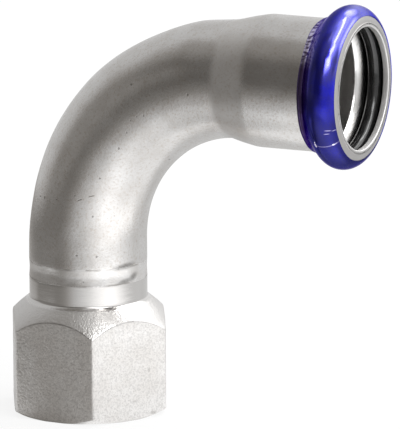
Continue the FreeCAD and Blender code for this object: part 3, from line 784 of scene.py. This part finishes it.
def blue_film():
    """Clear blue film over bright steel, which glints through it, with fine creases."""
    material, place = start_finish("blue_shrink_film", {
        "Metallic": 1.0,
        "Specular Tint": (0.3, 0.26, 0.7, 1.0),
        "Coat Roughness": 0.05,
        "Coat IOR": 2.1,
    })
    across, along, up = (axis_of(place, name) for name in "XYZ")
    tight = across.between(49.6, 51.6)
    seam_turn = float(np.radians(SEAM_TURN))
    beside_seam = along * float(-np.cos(seam_turn))
    beside_seam = beside_seam - (up - SOCKET_AXIS) * float(np.sin(seam_turn))
    near_side = 1 - along.between(-8.0, -7.0)
    seam = (1 - abs(beside_seam).between(0.06, 0.17)) * near_side * across.between(50.6, 51.4)
    crease = noise(stretched(place, 3.0, 1.0, 1.0), 0.9, 4.0, 0.6)
    crinkle = noise(stretched(place, 0.7, 1.6, 1.6), 0.8, 2.0, 0.5)
    cloud = noise(place, 2.5, 3.0)
    colour = cloud.between(0.3, 0.7).mix((0.004, 0.006, 0.66, 1.0), (0.008, 0.007, 0.42, 1.0))
    # Painted shade: the lower part of the film is painted dark navy, and darker still lower down.
    low = (1 - up.between(60, 68)) * (1 - along.between(-13.5, -9.5) * 0.6 * up.between(52.5, 56))
    colour = (low * 0.9).mix(colour, (0.008, 0.008, 0.11, 1.0))
    colour = ((1 - up.between(55, 62)) * 0.5).mix(colour, (0.005, 0.005, 0.03, 1.0))
    # Painted shade on the rear flank of the bead, above the middle.
    flank = (1 - across.between(51.6, 53.6)) * up.between(60, 66)
    colour = (flank * 0.75).mix(colour, (0.008, 0.007, 0.08, 1.0))
    crown = up.between(67, 73) * (1 - along.between(0, 5)) * across.between(52.6, 54.0)
    # The loose rear of the film is painted dark violet as shade, and its top crinkles are painted
    # pale as highlights.
    lit_crinkles = crinkle.between(0.32, 0.62) * up.between(70, 73.5)
    colour = tight.mix(lit_crinkles.mix((0.07, 0.048, 0.12, 1.0), (0.62, 0.58, 0.78, 1.0)), colour)
    # Painted highlights: the creases and the overlap seam are painted pale.
    lit_creases = marks(place, FILM_LIT_CREASES).larger(seam * 0.45)
    colour = (lit_creases * 0.6).mix(colour, (0.62, 0.56, 0.85, 1.0))
    # Painted highlights: near-white glints painted in spots.
    colour = marks(place, FILM_GLINTS).mix(colour, (0.9, 0.88, 0.95, 1.0))
    feed_shader(material, {
        "Base Color": colour,
        "Roughness": 0.12 + 0.1 * crease,
        "Coat Weight": 0.02 + (0.22 - 0.1 * low + 0.76 * crown) * tight,
        "Normal": relief(crease + (crinkle * 3.0) * (1 - tight) + seam * 1.2 + lit_creases * 0.5, 0.02),
    })
    return material


film.data.materials.append(blue_film())
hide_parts("press_indicator")
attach(film, "root")


# Floor and studio
# A white table that runs out of sight, under a big bright lamp box on the right, with the
# dark of the room on the left.

FLOOR_HALF_SIZE = 3.0  # metres
FLOOR_DROP = 0.00002  # metres
TABLE_GREY = 0.8
TABLE_GLOW_SEEN, TABLE_GLOW_MIRRORED = 0.86, 0.96
WARM_SHADE = (1.06, 1.0, 0.93, 1.0)

CAMERA_SWING = 24.71
CAMERA_TILT = 12.62
CAMERA_ROLL = -0.274
CAMERA_DISTANCE = 1200.0
CAMERA_TARGET = np.array([12.0, 0.0, 40.0])
CAMERA_SHIFT = (9.973, -2.191)
CAMERA_PIXELS_PER_MM = 5.4
PHOTO_HEIGHT = 429

table_top = bpy.data.meshes.new("table_top")
table_top.from_pydata([(x * FLOOR_HALF_SIZE, y * FLOOR_HALF_SIZE, -FLOOR_DROP)
                       for x, y in ((-1, -1), (1, -1), (1, 1), (-1, 1))], [], [(0, 1, 2, 3)])
floor = bpy.data.objects.new("table_top", table_top)
bpy.context.scene.collection.objects.link(floor)

swing, tilt, roll = np.radians([CAMERA_SWING, CAMERA_TILT, CAMERA_ROLL])

ROOM_BELOW, ROOM_LEVEL, ROOM_ABOVE = 1.24, 0.72, 0.69
PANELS = (
    # bearing, reach, softness, height, reach, softness, light
    (204, 69, 27, -26, 13.5, 36, 2.2),  # table in front of the lamps
    (163.5, 41, 45, -13.5, 4, 4, 3.2),  # bright strip of the table on the camera's side
    (301, 51, 37, 39, 43.5, 24, 1.08),  # wall on the right
    (277, 34, 55, -20, 7, 8.5, 0.85),  # shaded table on the right
    (138, 62, 66, 25, 43.5, 46.5, 0.14),  # dark room on the left
    (97, 20, 17, 4, 23.5, 16, 0.30),  # a strip of the dark room that is a little lighter
    (75, 78, 93, -38, 31, 4, 0.26),  # table in the dark room's shade
    (5, 61, 18, -55.5, 36, 26, 0.75),  # table behind the fitting
    (112, 44, 50, 67, 21, 29, 0.36),  # dark ceiling on the left
    (205, 65, 30, 84, 10, 8, 1.0),  # pale ceiling straight above
    (267, 57, 15, 55, 18, 16.5, 2.4),  # long lamp box
    (196, 19, 12, 34.5, 12, 5, 4.47),  # near end of the lamp box
    (281, 22, 18, 25, 4, 17, 5.27),  # small lamp under the lamp box
    (325, 13, 15, 42, 11.5, 9, 2.87),  # far end of the lamp box
    (272, 46, 12, 57, 4.5, 5, 7.5),  # glowing tube in the lamp box
    (330, 14, 14, 44, 6, 8, 4.5),  # far end of the glowing tube
    (219, 17, 10, 50, 5, 6, 7),  # near end of the glowing tube
    (200, 9, 8, 38, 6, 6, 7),  # the same end, lower
    (192, 8, 8, 23, 4, 6, 5),  # foot of the glowing tube
    (200, 30, 40, 10, 18, 12, 0.7),  # pale wall behind the camera
    (88, 20, 16, -40, 17, 8, 0.88),  # paler patch in the shaded table on the left
    (243, 14, 14, 20, 8, 8, 0.4),  # dark gap beside the small lamp
    (90, 45, 40, -11, 5.5, 6, 0.19),  # far edge of the shaded table on the left
)
PANELS_MIDDLE = (0.012, 0.0, 0.040)  # metres, about the middle of the fitting


def room_light(way):
    """Light from all round, by direction.

    The room goes evenly from its light below to that at the horizon and above. Each panel
    is laid over what stands before it, around a bearing and a height above the horizon in
    degrees, and its edges are eased over its softness. Bearing 180 is the camera's side
    and 270 is on its right.
    """
    east, north, climb = (way.node("ShaderNodeSeparateXYZ", axis, {}, {0: way}) for axis in "XYZ")
    sideways = east * float(np.cos(swing)) + north * float(np.sin(swing))
    towards = east * float(np.sin(swing)) - north * float(np.cos(swing))
    bearing = sideways.maths("ARCTAN2", sideways, towards) * float(180 / np.pi) + 180
    height = climb.maths("ARCSINE", climb) * float(180 / np.pi)
    light = ROOM_LEVEL + (ROOM_BELOW - ROOM_LEVEL) * (0 - height).between(0, 60)
    light = light + (ROOM_ABOVE - ROOM_LEVEL) * height.between(0, 70)
    for middle, wide, side_ease, level, tall, end_ease, glow in PANELS:
        off = bearing - middle
        off = abs(off.maths("WRAP", off, 180, -180))
        rise = abs(height - level)
        beside = off.between(wide - side_ease / 2, wide + side_ease / 2)
        beyond = rise.between(tall - end_ease / 2, tall + end_ease / 2)
        light = light + (1 - beside) * (1 - beyond) * (glow - light)
    return light


def light_colour(light):
    """White where there is light, and a little warm in the dark of the room."""
    return light.between(0.1, 0.8).mix(WARM_SHADE, grey(1.0))


def white_table():
    """White laminate, glowing white for the camera but for the fitting's soft shadow.

    Metal sees the table too, lit unevenly: each place on it shows the light that
    room_light has for the direction from the middle of the fitting to that place.
    """
    material = bpy.data.materials.new("white_table")
    material.use_nodes = True
    tree = material.node_tree
    tree.nodes.clear()
    start = Signal(tree)
    camera = start.node("ShaderNodeLightPath", "Is Camera Ray")
    mirrored = start.node("ShaderNodeLightPath", "Is Glossy Ray")
    below = start.node("ShaderNodeNewGeometry", "Backfacing")
    place = start.node("ShaderNodeTexCoord", "Object")
    subtract, normalize = {"operation": "SUBTRACT"}, {"operation": "NORMALIZE"}
    way = start.node("ShaderNodeVectorMath", 0, subtract, {0: place, 1: PANELS_MIDDLE})
    way = start.node("ShaderNodeVectorMath", 0, normalize, {0: way})
    light = camera + mirrored * room_light(way)
    lit = start.node("ShaderNodeBsdfDiffuse", 0, {}, {"Color": grey(TABLE_GREY)})
    glow = start.node("ShaderNodeEmission", 0, {}, {
        "Color": light_colour(light), "Strength": light})
    glowing = camera * TABLE_GLOW_SEEN + mirrored * TABLE_GLOW_MIRRORED
    shown = start.node("ShaderNodeMixShader", 0, {}, {0: glowing, 1: lit, 2: glow})
    clear = start.node("ShaderNodeBsdfTransparent", 0)
    both = start.node("ShaderNodeMixShader", 0, {}, {0: below, 1: shown, 2: clear})
    output = tree.nodes.new("ShaderNodeOutputMaterial")
    tree.links.new(both.socket, output.inputs["Surface"])
    return material


table_top.materials.append(white_table())

level_right = np.array([np.cos(swing), np.sin(swing), 0])
back = np.array([np.sin(swing) * np.cos(tilt), -np.cos(swing) * np.cos(tilt), np.sin(tilt)])
upright = np.cross(back, level_right)
right = np.cos(roll) * level_right + np.sin(roll) * upright
up = np.cos(roll) * upright - np.sin(roll) * level_right


def studio():
    """White all round for the camera, and the panels' light for everything else."""
    world = bpy.data.worlds.new("studio")
    bpy.context.scene.world = world
    world.use_nodes = True
    tree = world.node_tree
    tree.nodes.clear()
    start = Signal(tree)
    light = room_light(start.node("ShaderNodeTexCoord", "Generated"))
    camera = start.node("ShaderNodeLightPath", "Is Camera Ray")
    light = light + camera * (1 - light)
    glow = start.node("ShaderNodeBackground", 0, {}, {
        "Color": light_colour(light), "Strength": light})
    output = tree.nodes.new("ShaderNodeOutputWorld")
    tree.links.new(glow.socket, output.inputs["Surface"])


studio()

lens = bpy.data.cameras.new("long_lens")
lens.sensor_width = 36.0
lens.lens = lens.sensor_width * CAMERA_PIXELS_PER_MM * CAMERA_DISTANCE / PHOTO_HEIGHT
lens.clip_start = 0.1
lens.clip_end = 20.0
camera = bpy.data.objects.new("camera", lens)
bpy.context.scene.collection.objects.link(camera)
position = CAMERA_TARGET + back * CAMERA_DISTANCE + right * CAMERA_SHIFT[0] + up * CAMERA_SHIFT[1]
matrix = np.eye(4)
matrix[:3, 0], matrix[:3, 1], matrix[:3, 2], matrix[:3, 3] = right, up, back, position * MM
camera.matrix_world = Matrix(matrix)
bpy.context.scene.camera = camera
bpy.context.scene.view_settings.view_transform = "Standard"
